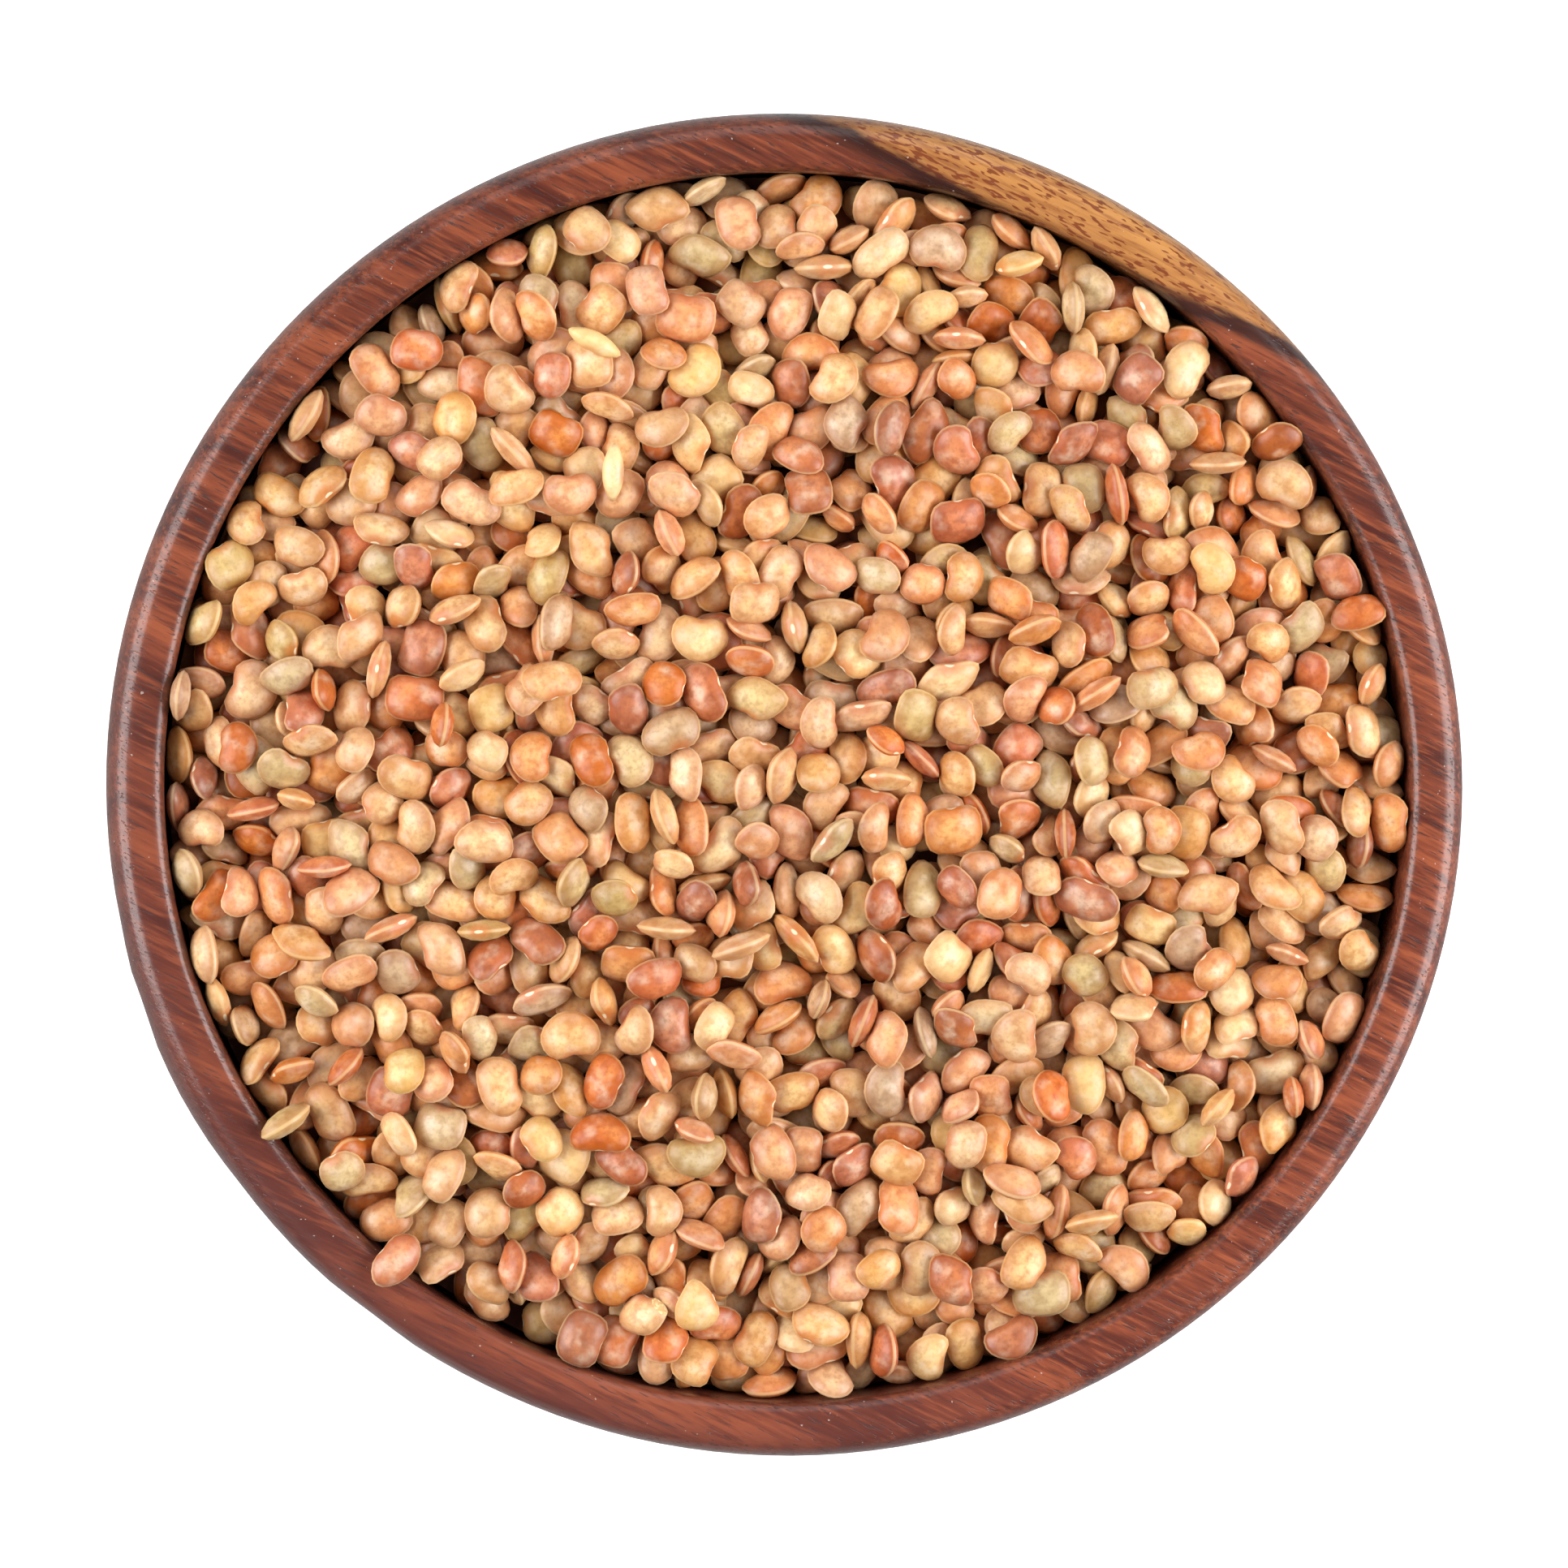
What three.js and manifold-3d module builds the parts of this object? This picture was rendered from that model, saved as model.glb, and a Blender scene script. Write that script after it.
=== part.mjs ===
// A turned hardwood bowl filled with horse gram, a small flat lens-shaped pulse.
// Units are millimetres, +Z is up and the origin is the centre of the bowl's foot.
// The bowl stands on its flat foot. The gram is one solid: a domed core that fills the bowl,
// with seeds of its top layer bedded in it at their true size.
import * as THREE from "three";
import { ConvexGeometry } from "three/addons/geometries/ConvexGeometry.js";
import { mergeVertices } from "three/addons/utils/BufferGeometryUtils.js";
import Module from "manifold-3d";

const wasm = await Module();
wasm.setup();

// A place on a profile: its distance from the Z axis and its height.
function point(radius, height) {
  return new THREE.Vector2(radius, height);
}

// ---- Driving dimensions ----

const BOWL = {
  radius: 64, // greatest radius, just under the rim
  height: 48,
  bellyHeight: 43.8, // where the radius is greatest
  footRadius: 30,
  footHeight: 2,
  footStep: 1.6, // how far the wall stands out over the foot
  wallPulls: [point(50, 8), point(64, 24)], // what the outer wall's curve is drawn towards
  floorThickness: 7,
  segments: 56,
};
const RIM = {
  innerRadius: 58.5, // of the inner wall, just under the rim
  innerRound: 1.3, // radius of the inner edge
  straightWall: 11, // how far the inner wall runs straight down from the top
  flatOuter: 61.8, // where the flat top ends and the worn outer shoulder begins
  shoulderPulls: [point(64, 46.6), point(63.1, 47.8)],
};
// The hollow's curve, as shares of the wall's radius and heights over the floor.
const HOLLOW = { floorEdge: point(0.36, 0.8), pulls: [point(0.7, 3), point(1, 14)] };
// The wood shrank unevenly as it dried, so the bowl is a little oval.
const OVAL = { across: 0.985, angle: THREE.MathUtils.degToRad(-15.5) };

const SEED = {
  length: 5.5,
  width: 4,
  thickness: 2.35,
  spread: 0.14, // seeds differ in size by up to this share
  sides: 6,
  bluntness: 1.08, // corners stand this far out, to give a few-sided seed its full area
  ridge: 0.4, // half length of the flat top, as a share of the half length
};
const HEAP = {
  gap: 0.4, // clear of the bowl's wall
  edgeDrop: 3.2, // mean top of the seeds at the wall, under the rim
  crown: 7, // how much higher the middle is
  crownPower: 2.2,
  coreDepth: 1.15, // bare core under the mean top of the seeds
  domeShares: [1, 0.8, 0.45, 0], // where the core's dome is measured, as shares of the radius
  domeSegments: 12,
  seeds: 350,
  jitter: 0.8, // how far a seed lies off its even spacing
  lift: 0.3, // how far a seed stands over or under the mean top
  maxTilt: 0.42,
  onEdgeShare: 0.12,
  onEdgeTilt: 1.25,
  randomSeed: 7,
};
const FOOT_BEVEL = 0.5;
const ROUND_PULL = 0.552; // how far a curve is drawn to its corner to be a quarter circle
const GOLDEN_ANGLE = Math.PI * (3 - Math.sqrt(5));
const SIZE_STRIDE = 233; // spreads the large and small seeds over the whole heap

// ---- Helpers ----

// A repeatable random number from 0 to 1 at each call.
function makeRandom(seed) {
  let state = seed >>> 0;
  return () => {
    state = (Math.imul(state, 1664525) + 1013904223) >>> 0;
    return state / 2 ** 32;
  };
}

// Parts of a profile, each with the number of straight steps that it takes.
function line(from, to) {
  return [new THREE.LineCurve(from, to), 1];
}

function bend(from, pulls, to, steps) {
  return [new THREE.CubicBezierCurve(from, ...pulls, to), steps];
}

// A quarter round at the top of a wall, from its outer or its inner end.
function quarterRound(from, corner, to, steps) {
  const pulls = [from.clone().lerp(corner, ROUND_PULL), to.clone().lerp(corner, ROUND_PULL)];
  return bend(from, pulls, to, steps);
}

// A profile turned about the Z axis.
function turned(sections, segments) {
  const profile = sections.flatMap(([curve, steps], n) => curve.getPoints(steps).slice(n ? 1 : 0));
  return new THREE.LatheGeometry(profile, segments).rotateX(Math.PI / 2);
}

// A closed geometry as a solid that can be joined and cut.
function toSolid(geometry) {
  const bare = geometry.clone();
  bare.deleteAttribute("normal");
  bare.deleteAttribute("uv");
  const merged = mergeVertices(bare, 1e-4);
  return new wasm.Manifold(
    new wasm.Mesh({
      numProp: 3,
      vertProperties: merged.attributes.position.array,
      triVerts: new Uint32Array(merged.index.array),
    }),
  );
}

// A solid as a geometry for a mesh.
function toGeometry(solid) {
  const { vertProperties, triVerts } = solid.getMesh();
  const geometry = new THREE.BufferGeometry();
  geometry.setAttribute("position", new THREE.BufferAttribute(vertProperties, 3));
  geometry.setIndex(new THREE.BufferAttribute(triVerts, 1));
  geometry.computeVertexNormals();
  return geometry;
}

// The largest body of a solid, without loose scraps and with sealed hollows filled.
function outerBody(solid) {
  return solid.decompose().reduce((most, body) => (body.volume() > most.volume() ? body : most));
}

// ---- Bowl ----

// The bowl's inside from the middle of its floor to the top of its wall, moved in by an offset.
function insideCurves(offset) {
  const wall = RIM.innerRadius - offset;
  const floor = BOWL.floorThickness + offset;
  const inHollow = (place) => point(place.x * wall, place.y + floor);
  const floorEdge = inHollow(HOLLOW.floorEdge);
  const wallFoot = point(wall, BOWL.height - RIM.straightWall);
  const top = point(wall, BOWL.height - RIM.innerRound);
  return [
    line(point(0, floor), floorEdge),
    bend(floorEdge, HOLLOW.pulls.map(inHollow), wallFoot, 4),
    line(wallFoot, top),
  ];
}

function bowlGeometry() {
  const { radius, height, bellyHeight, footRadius, footHeight, footStep, wallPulls } = BOWL;
  const innerTop = point(RIM.innerRadius, height - RIM.innerRound);
  const flatInner = point(RIM.innerRadius + RIM.innerRound, height);
  const flatOuter = point(RIM.flatOuter, height);
  const belly = point(radius, bellyHeight);
  const wallFoot = point(footRadius + footStep, footHeight);
  const footTop = point(footRadius, footHeight - FOOT_BEVEL);
  const footEdge = point(footRadius, 0);
  const outline = [
    line(point(0, 0), footEdge),
    line(footEdge, footTop),
    line(footTop, wallFoot),
    bend(wallFoot, wallPulls, belly, 5),
    bend(belly, RIM.shoulderPulls, flatOuter, 3),
    line(flatOuter, flatInner),
    quarterRound(flatInner, point(RIM.innerRadius, height), innerTop, 2),
  ];
  const inside = insideCurves(0).map(([curve, steps]) => [reversed(curve), steps]);
  return turned([...outline, ...inside.reverse()], BOWL.segments);
}

// A curve that runs the other way.
function reversed(curve) {
  if (curve.isLineCurve) return new THREE.LineCurve(curve.v2, curve.v1);
  return new THREE.CubicBezierCurve(curve.v3, curve.v2, curve.v1, curve.v0);
}

// ---- Horse gram ----

// Mean height of the seeds' tops at a distance from the bowl's axis.
function heapTop(distance) {
  const share = Math.min(distance / RIM.innerRadius, 1);
  return BOWL.height - HEAP.edgeDrop + HEAP.crown * (1 - share ** HEAP.crownPower);
}

// The bowl's inside, less the gap, up to a level above all of the heap.
function insideGeometry() {
  const wall = RIM.innerRadius - HEAP.gap;
  const level = BOWL.height + HEAP.crown * 2;
  const wallTop = point(wall, level);
  const curves = insideCurves(HEAP.gap);
  const lip = curves.at(-1)[0].v2;
  const lid = [line(lip, wallTop), line(wallTop, point(0, level))];
  return turned([...curves, ...lid], BOWL.segments / 2);
}

// The plain dome that the seeds of the top layer are bedded in, and all below it.
function domeGeometry() {
  const reach = BOWL.radius * 1.1;
  const domePoints = HEAP.domeShares.map((share) => {
    const distance = share * RIM.innerRadius;
    return point(distance, heapTop(distance) - HEAP.coreDepth);
  });
  const corners = [point(0, 0), point(reach, 0), point(reach, domePoints[0].y - 2), ...domePoints];
  const sides = corners.slice(1).map((corner, n) => line(corners[n], corner));
  return turned(sides, HEAP.domeSegments);
}

// One seed, lying flat: a lens with a few-sided outline and a short flat ridge on top.
function seedGeometry() {
  const half = new THREE.Vector3(SEED.length, SEED.width, SEED.thickness).multiplyScalar(0.5);
  const corners = [
    new THREE.Vector3(-SEED.ridge, 0, 1),
    new THREE.Vector3(SEED.ridge, 0, 1),
    new THREE.Vector3(0, 0, -1),
  ];
  for (let i = 0; i < SEED.sides; i += 1) {
    const angle = (2 * Math.PI * (i + 0.5)) / SEED.sides;
    const corner = new THREE.Vector3(Math.cos(angle), Math.sin(angle), 0);
    corners.push(corner.multiplyScalar(SEED.bluntness));
  }
  return new ConvexGeometry(corners.map((corner) => corner.multiply(half)));
}

// The furthest that a seed's centre can lie from the axis, for its size and its turn.
function wallReach(size, turnFromWall) {
  const along = SEED.length * Math.cos(turnFromWall);
  const across = SEED.width * Math.sin(turnFromWall);
  const halfReach = (Math.hypot(along, across) * SEED.bluntness * size) / 2;
  return RIM.innerRadius - HEAP.gap - halfReach;
}

// Where the seeds of the top layer lie: evenly spread over the dome, the largest first.
function seedPlaces() {
  const random = makeRandom(HEAP.randomSeed);
  const either = (most) => most * (2 * random() - 1);
  const spiralReach = RIM.innerRadius - HEAP.gap - SEED.width / 2;
  const places = [];
  for (let n = 0; n < HEAP.seeds; n += 1) {
    const size = 1 + SEED.spread * (1 - (2 * n) / HEAP.seeds);
    const order = (n * SIZE_STRIDE) % HEAP.seeds;
    const angle = order * GOLDEN_ANGLE;
    const turn = random() * Math.PI;
    const spaced = spiralReach * Math.sqrt((order + 0.5) / HEAP.seeds) + either(HEAP.jitter);
    const distance = Math.min(spaced, wallReach(size, turn - angle));
    const onEdge = random() < HEAP.onEdgeShare;
    places.push({
      distance,
      angle: angle + either(HEAP.jitter) / (distance + SEED.length),
      size,
      turn,
      lean: random() * 2 * Math.PI,
      tilt: onEdge ? HEAP.onEdgeTilt : HEAP.maxTilt * random(),
      lift: either(HEAP.lift),
    });
  }
  return places;
}

// The seeds of the top layer as solids, each turned and leaning in its own way.
function seedSolids() {
  const seed = seedGeometry();
  const up = new THREE.Vector3(0, 0, 1);
  return seedPlaces().map(({ distance, angle, size, turn, lean, tilt, lift }) => {
    const leanAxis = new THREE.Vector3(Math.cos(lean), Math.sin(lean), 0);
    const turnBy = new THREE.Quaternion().setFromAxisAngle(up, turn);
    const leanBy = new THREE.Quaternion().setFromAxisAngle(leanAxis, tilt);
    const height = heapTop(distance) - SEED.thickness / 2 + lift;
    const centre = new THREE.Vector3(distance * Math.cos(angle), distance * Math.sin(angle), height);
    const scale = new THREE.Vector3().setScalar(size);
    const placed = new THREE.Matrix4().compose(centre, leanBy.multiply(turnBy), scale);
    return toSolid(seed.clone().applyMatrix4(placed));
  });
}

function gramGeometry() {
  const core = toSolid(domeGeometry()).intersect(toSolid(insideGeometry()));
  const heap = seedSolids().reduce((joined, seed) => joined.add(seed), core);
  return toGeometry(outerBody(heap));
}

// ---- Assembly ----

// The slight oval of the dried wood, which the gram in the bowl follows.
const driedOval = new THREE.Matrix4()
  .makeRotationZ(OVAL.angle)
  .multiply(new THREE.Matrix4().makeScale(1, OVAL.across, 1))
  .multiply(new THREE.Matrix4().makeRotationZ(-OVAL.angle));

const wood = new THREE.MeshStandardMaterial({ color: 0x7a3a28, roughness: 0.42, metalness: 0 });
const seedCoat = new THREE.MeshStandardMaterial({ color: 0xc48a58, roughness: 0.5, metalness: 0 });

const bowl = new THREE.Mesh(bowlGeometry().applyMatrix4(driedOval), wood);
bowl.name = "bowl";

const horseGram = new THREE.Mesh(gramGeometry().applyMatrix4(driedOval), seedCoat);
horseGram.name = "horse_gram";

const bowlOfHorseGram = new THREE.Group();
bowlOfHorseGram.add(bowl, horseGram);

export default bowlOfHorseGram;
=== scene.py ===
"""Bowl of horse gram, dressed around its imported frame.

A small, slightly oval bowl turned from one piece of reddish heartwood, with a patch of golden
sapwood on its rim, is heaped with dry horse gram: flat lens-shaped seeds in tan, peach, russet,
olive and grey-brown. The seeds are modelled in a few forms, copied, dropped onto a domed bed and
left to settle, and then joined into one piece for each colour of seed.

Lengths in the size classes are millimetres; every Blender object is in metres.
"""

import logging
import math
from collections.abc import Iterable, Sequence
from dataclasses import dataclass
from enum import Enum

import bpy
import numpy as np
from mathutils import Matrix, Quaternion, Vector
from mathutils.bvhtree import BVHTree


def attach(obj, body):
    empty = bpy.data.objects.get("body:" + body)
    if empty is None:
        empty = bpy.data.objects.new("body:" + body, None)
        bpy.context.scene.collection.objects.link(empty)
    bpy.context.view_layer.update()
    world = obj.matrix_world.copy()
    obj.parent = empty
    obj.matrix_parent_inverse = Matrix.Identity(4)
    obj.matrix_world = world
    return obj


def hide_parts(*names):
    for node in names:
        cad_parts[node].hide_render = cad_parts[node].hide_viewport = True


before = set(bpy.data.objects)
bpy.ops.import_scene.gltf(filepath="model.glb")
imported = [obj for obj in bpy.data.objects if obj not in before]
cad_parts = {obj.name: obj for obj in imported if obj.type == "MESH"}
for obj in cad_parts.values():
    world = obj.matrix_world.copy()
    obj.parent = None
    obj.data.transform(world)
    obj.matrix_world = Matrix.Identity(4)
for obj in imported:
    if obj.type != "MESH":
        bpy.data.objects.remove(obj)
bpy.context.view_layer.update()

MM = 0.001
CM = 0.01
MM_TO_CM = 0.1
CM_TO_MM = 10
WHITE = (1.0, 1.0, 1.0, 1.0)
LOG = logging.getLogger("bowl_of_horse_gram")

Place = tuple[float, float]
Colour = tuple[float, float, float, float]
Direction = tuple[float, float, float]
Socket = bpy.types.NodeSocket


def srgb(red: int, green: int, blue: int) -> Colour:
    """Turn a colour as it looks on screen into the linear colour that a shader takes.

    Args:
        red: Red, 0 to 255.
        green: Green, 0 to 255.
        blue: Blue, 0 to 255.

    Returns:
        The linear colour with an alpha of 1.
    """
    linear = [
        value / 12.92 if value <= 0.04045 else ((value + 0.055) / 1.055) ** 2.4
        for value in (red / 255, green / 255, blue / 255)
    ]
    return (linear[0], linear[1], linear[2], 1.0)


def bend(start: Place, pulls: Sequence[Place], end: Place, steps: int) -> list[Place]:
    """Sample a cubic curve, without its first point.

    Args:
        start: Where the curve starts.
        pulls: The two points that it is drawn towards.
        end: Where it ends.
        steps: How many points to give.

    Returns:
        The points, ending with the end.
    """
    corners = (start, *pulls, end)
    points = []
    for step in range(1, steps + 1):
        t = step / steps
        u = 1 - t
        weights = (u**3, 3 * u * u * t, 3 * u * t * t, t**3)
        radius = sum(weight * corner[0] for weight, corner in zip(weights, corners))
        height = sum(weight * corner[1] for weight, corner in zip(weights, corners))
        points.append((radius, height))
    return points


class Workbench:
    """Small steps that the pieces are modelled with."""

    @staticmethod
    def clear() -> None:
        """Leave edit mode and deselect everything."""
        if bpy.context.object and bpy.context.object.mode != "OBJECT":
            bpy.ops.object.mode_set(mode="OBJECT")
        bpy.ops.object.select_all(action="DESELECT")

    @staticmethod
    def hold(piece: bpy.types.Object) -> None:
        """Make one object the only selected and active one.

        Args:
            piece: The object.
        """
        Workbench.clear()
        piece.select_set(True)
        bpy.context.view_layer.objects.active = piece

    @staticmethod
    def ring(name: str, count: int, radius: float, height: float) -> bpy.types.Object:
        """Add a level ring of edges and open it in edit mode, with its edges selected.

        Args:
            name: The new object's name.
            count: How many corners the ring has.
            radius: Its radius.
            height: Its height.

        Returns:
            The new object.
        """
        Workbench.clear()
        bpy.ops.mesh.primitive_circle_add(vertices=count, radius=radius)
        piece = bpy.context.object
        piece.name = piece.data.name = name
        bpy.ops.object.mode_set(mode="EDIT")
        bpy.ops.mesh.select_mode(type="EDGE")
        bpy.ops.mesh.select_all(action="SELECT")
        bpy.ops.transform.translate(value=(0.0, 0.0, height))
        return piece

    @staticmethod
    def loft(profile: Sequence[Place]) -> None:
        """Extrude the selected ring of edges along a profile.

        Args:
            profile: The radii and heights that the ring passes, from where it is now.
        """
        radius, height = profile[0]
        for next_radius, next_height in profile[1:]:
            rise = (0.0, 0.0, next_height - height)
            bpy.ops.mesh.extrude_edges_move(TRANSFORM_OT_translate={"value": rise})
            share = next_radius / radius
            bpy.ops.transform.resize(value=(share, share, 1.0), center_override=(0.0, 0.0, 0.0))
            radius, height = next_radius, next_height

    @staticmethod
    def close() -> None:
        """Draw the selected ring of edges together into one point and leave edit mode."""
        bpy.ops.mesh.merge(type="CENTER")
        Workbench.face_outwards()

    @staticmethod
    def face_outwards() -> None:
        """Turn all faces of the piece in edit mode outwards, and leave edit mode."""
        bpy.ops.mesh.select_all(action="SELECT")
        bpy.ops.mesh.normals_make_consistent(inside=False)
        bpy.ops.object.mode_set(mode="OBJECT")

    @staticmethod
    def apply(piece: bpy.types.Object, kind: str, **settings: object) -> None:
        """Add a modifier to a piece and apply it.

        Args:
            piece: The piece.
            kind: The modifier's type.
            **settings: Values for the modifier.
        """
        Workbench.hold(piece)
        modifier = piece.modifiers.new(kind.lower(), kind)
        for name, value in settings.items():
            setattr(modifier, name, value)
        bpy.ops.object.modifier_apply(modifier=modifier.name)

    @staticmethod
    def pick(piece: bpy.types.Object, corners: Iterable[int]) -> None:
        """Open a piece in edit mode with only some of its corners selected.

        Args:
            piece: The piece.
            corners: The numbers of the corners.
        """
        Workbench.hold(piece)
        bpy.ops.object.mode_set(mode="EDIT")
        bpy.ops.mesh.select_mode(type="VERT")
        bpy.ops.mesh.select_all(action="DESELECT")
        bpy.ops.object.mode_set(mode="OBJECT")
        for corner in corners:
            piece.data.vertices[corner].select = True
        bpy.ops.object.mode_set(mode="EDIT")

    @staticmethod
    def pick_opening(piece: bpy.types.Object) -> None:
        """Open a piece in edit mode with only the edges round its opening selected.

        Args:
            piece: The piece.
        """
        Workbench.hold(piece)
        bpy.ops.object.mode_set(mode="EDIT")
        bpy.ops.mesh.select_all(action="DESELECT")
        bpy.ops.mesh.select_mode(type="EDGE")
        bpy.ops.mesh.select_non_manifold(extend=False)

    @staticmethod
    def pull(piece: bpy.types.Object, at: Vector, by: Vector, reach: float) -> None:
        """Move the corner nearest a place, and take its neighbours along.

        Args:
            piece: The piece.
            at: The place.
            by: How far the corner moves.
            reach: How far round it the neighbours follow.
        """
        nearest = min(piece.data.vertices, key=lambda vertex: (vertex.co - at).length)
        Workbench.pick(piece, [nearest.index])
        bpy.ops.transform.translate(
            value=by,
            use_proportional_edit=True,
            proportional_edit_falloff="SMOOTH",
            proportional_size=reach,
        )
        bpy.ops.object.mode_set(mode="OBJECT")

    @staticmethod
    def order(piece: bpy.types.Object) -> None:
        """Put a piece's faces in a set order, so that what rests on it settles the same way each time.

        Args:
            piece: The piece.
        """
        faces = [tuple(face.vertices) for face in piece.data.polygons]
        turned = [face[face.index(min(face)) :] + face[: face.index(min(face))] for face in faces]
        mesh = bpy.data.meshes.new(piece.name)
        mesh.from_pydata([vertex.co.copy() for vertex in piece.data.vertices], [], sorted(turned))
        piece.data = mesh

    @staticmethod
    def clouds(name: str, size: float) -> bpy.types.Texture:
        """Make a cloud texture for a Displace modifier.

        Args:
            name: The texture's name.
            size: The size of its clouds, in metres.

        Returns:
            The texture.
        """
        texture = bpy.data.textures.new(name, "CLOUDS")
        texture.noise_scale = size
        texture.noise_depth = 1
        return texture


# ---- Sizes that the bowl and the heap share ----


@dataclass(frozen=True)
class HandMark:
    """A place where the sanding pulled the bowl's outline out or in, in millimetres and degrees."""

    angle: float
    radius: float
    outwards: float
    reach: float

    def place(self, height: float) -> Vector:
        """Give its place in metres, at a height in millimetres."""
        return Vector((*self._spoke(self.radius), height * MM))

    def move(self) -> Vector:
        """Give how far the outline moves, in metres."""
        return Vector((*self._spoke(self.outwards), 0.0))

    def _spoke(self, length: float) -> Place:
        """Give a length along the mark's direction, in metres."""
        turn = math.radians(self.angle)
        return (length * MM * math.cos(turn), length * MM * math.sin(turn))


@dataclass(frozen=True)
class BowlSizes:
    """Driving sizes of the turned bowl, in millimetres and degrees.

    A curve of its profile is drawn towards its pulls, and is made of its steps. Shares are of the
    hollow's radius, and the floor's pulls are given as shares and heights over the floor.
    """

    radius: float = 64.0
    height: float = 48.0
    belly_height: float = 43.8
    foot_radius: float = 30.0
    foot_height: float = 2.0
    foot_step: float = 1.6
    foot_bevel: float = 0.5
    foot_insets: Place = (4.0, 12.0)
    foot_wear: float = 0.5
    wall_pulls: tuple[Place, Place] = ((50.0, 8.0), (64.0, 24.0))
    wall_steps: int = 22
    shoulder_pulls: tuple[Place, Place] = ((64.0, 46.6), (63.1, 47.8))
    shoulder_steps: int = 9
    flat_outer: float = 61.8
    flat_pulls: Place = (61.2, 60.4)
    flat_crown: float = 0.05
    flat_steps: int = 4
    inner_radius: float = 58.5
    inner_round: float = 1.3
    round_pull: float = 0.45
    round_steps: int = 6
    straight_wall: float = 11.0
    hollow_steps: int = 16
    floor_thickness: float = 7.0
    floor_share: float = 0.36
    floor_dish: float = 0.8
    floor_pulls: tuple[Place, Place] = ((0.7, 3.0), (1.0, 14.0))
    eye_share: float = 0.03
    oval_across: float = 0.985
    oval_angle: float = -15.5
    segments: int = 160
    cloud_size: float = 30.0
    unevenness: float = 0.25
    sharp_angle: float = 38.0
    hand_marks: tuple[HandMark, ...] = (
        HandMark(196, 64, 0.2, 5),
        HandMark(201, 64, 0.3, 5),
        HandMark(206, 64, 0.3, 5),
        HandMark(211, 64, 0.2, 5),
        HandMark(232, 64, -0.2, 6),
    )

    def hollow(self, offset: float, steps: int) -> list[Place]:
        """Give the profile of the inside, from near the middle of the floor to the wall's top.

        Args:
            offset: How far the profile is moved in from the wood.
            steps: How many points the curve from floor to wall has.

        Returns:
            Radii and heights.
        """
        wall = self.inner_radius - offset
        floor = self.floor_thickness + offset
        edge = (self.floor_share * wall, floor + self.floor_dish)
        wall_foot = (wall, self.height - self.straight_wall)
        pulls = [(share * wall, floor + rise) for share, rise in self.floor_pulls]
        curve = bend(edge, pulls, wall_foot, steps)
        return [(self.eye_share * wall, floor), edge, *curve, (wall, self.height - self.inner_round)]

    def outside(self) -> list[Place]:
        """Give the profile from the foot's edge up the outer wall and over the rim.

        Returns:
            Radii and heights.
        """
        wall_foot = (self.foot_radius + self.foot_step, self.foot_height)
        belly = (self.radius, self.belly_height)
        flat_outer = (self.flat_outer, self.height)
        flat_inner = (self.inner_radius + self.inner_round, self.height)
        flat_pulls = [(radius, self.height + self.flat_crown) for radius in self.flat_pulls]
        inner_top = (self.inner_radius, self.height - self.inner_round)
        pull = self.round_pull * self.inner_round
        inner_pulls = ((self.inner_radius + pull, self.height), (self.inner_radius, self.height - pull))
        return [
            (self.foot_radius, 0.0),
            (self.foot_radius, self.foot_height - self.foot_bevel),
            wall_foot,
            *bend(wall_foot, self.wall_pulls, belly, self.wall_steps),
            *bend(belly, self.shoulder_pulls, flat_outer, self.shoulder_steps),
            *bend(flat_outer, flat_pulls, flat_inner, self.flat_steps),
            *bend(flat_inner, inner_pulls, inner_top, self.round_steps),
        ]

    def oval(self) -> Matrix:
        """Return the squeeze that makes the round bowl a little oval, as the dried wood is."""
        turn = Matrix.Rotation(math.radians(self.oval_angle), 4, "Z")
        return turn @ Matrix.Diagonal((1, self.oval_across, 1, 1)) @ turn.inverted()


@dataclass(frozen=True)
class HeapSizes:
    """Driving sizes of the heap of seeds, in millimetres."""

    gap: float = 0.4
    edge_drop: float = 3.2
    crown: float = 7.0
    crown_power: float = 2.2
    bed_depth: float = 5.6
    wall_rise: float = 1.6
    wall_power: int = 6
    seeds: int = 1730
    random_seed: int = 11

    def top(self, distance: float, bowl: BowlSizes) -> float:
        """Give the height that the heap is piled to.

        Args:
            distance: Distance from the bowl's axis.
            bowl: The bowl that holds the heap.

        Returns:
            The height over the foot.
        """
        share = min(distance / bowl.inner_radius, 1.0)
        return bowl.height - self.edge_drop + self.crown * (1 - share**self.crown_power)

    def bed(self, bowl: BowlSizes, wall: float) -> list[Place]:
        """Give the profile of the bed under the loose seeds, from the wall to near the middle.

        Args:
            bowl: The bowl that holds the heap.
            wall: The radius that the bed reaches.

        Returns:
            Radii and heights.
        """
        shares = (1.0, 0.9, 0.8, 0.7, 0.6, 0.5, 0.4, 0.3, 0.2, 0.1, 0.02)
        depths = (self.bed_depth - self.wall_rise * share**self.wall_power for share in shares)
        points = zip((wall * share for share in shares), depths)
        return [(radius, self.top(radius, bowl) - depth) for radius, depth in points]


# ---- Node work ----


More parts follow.
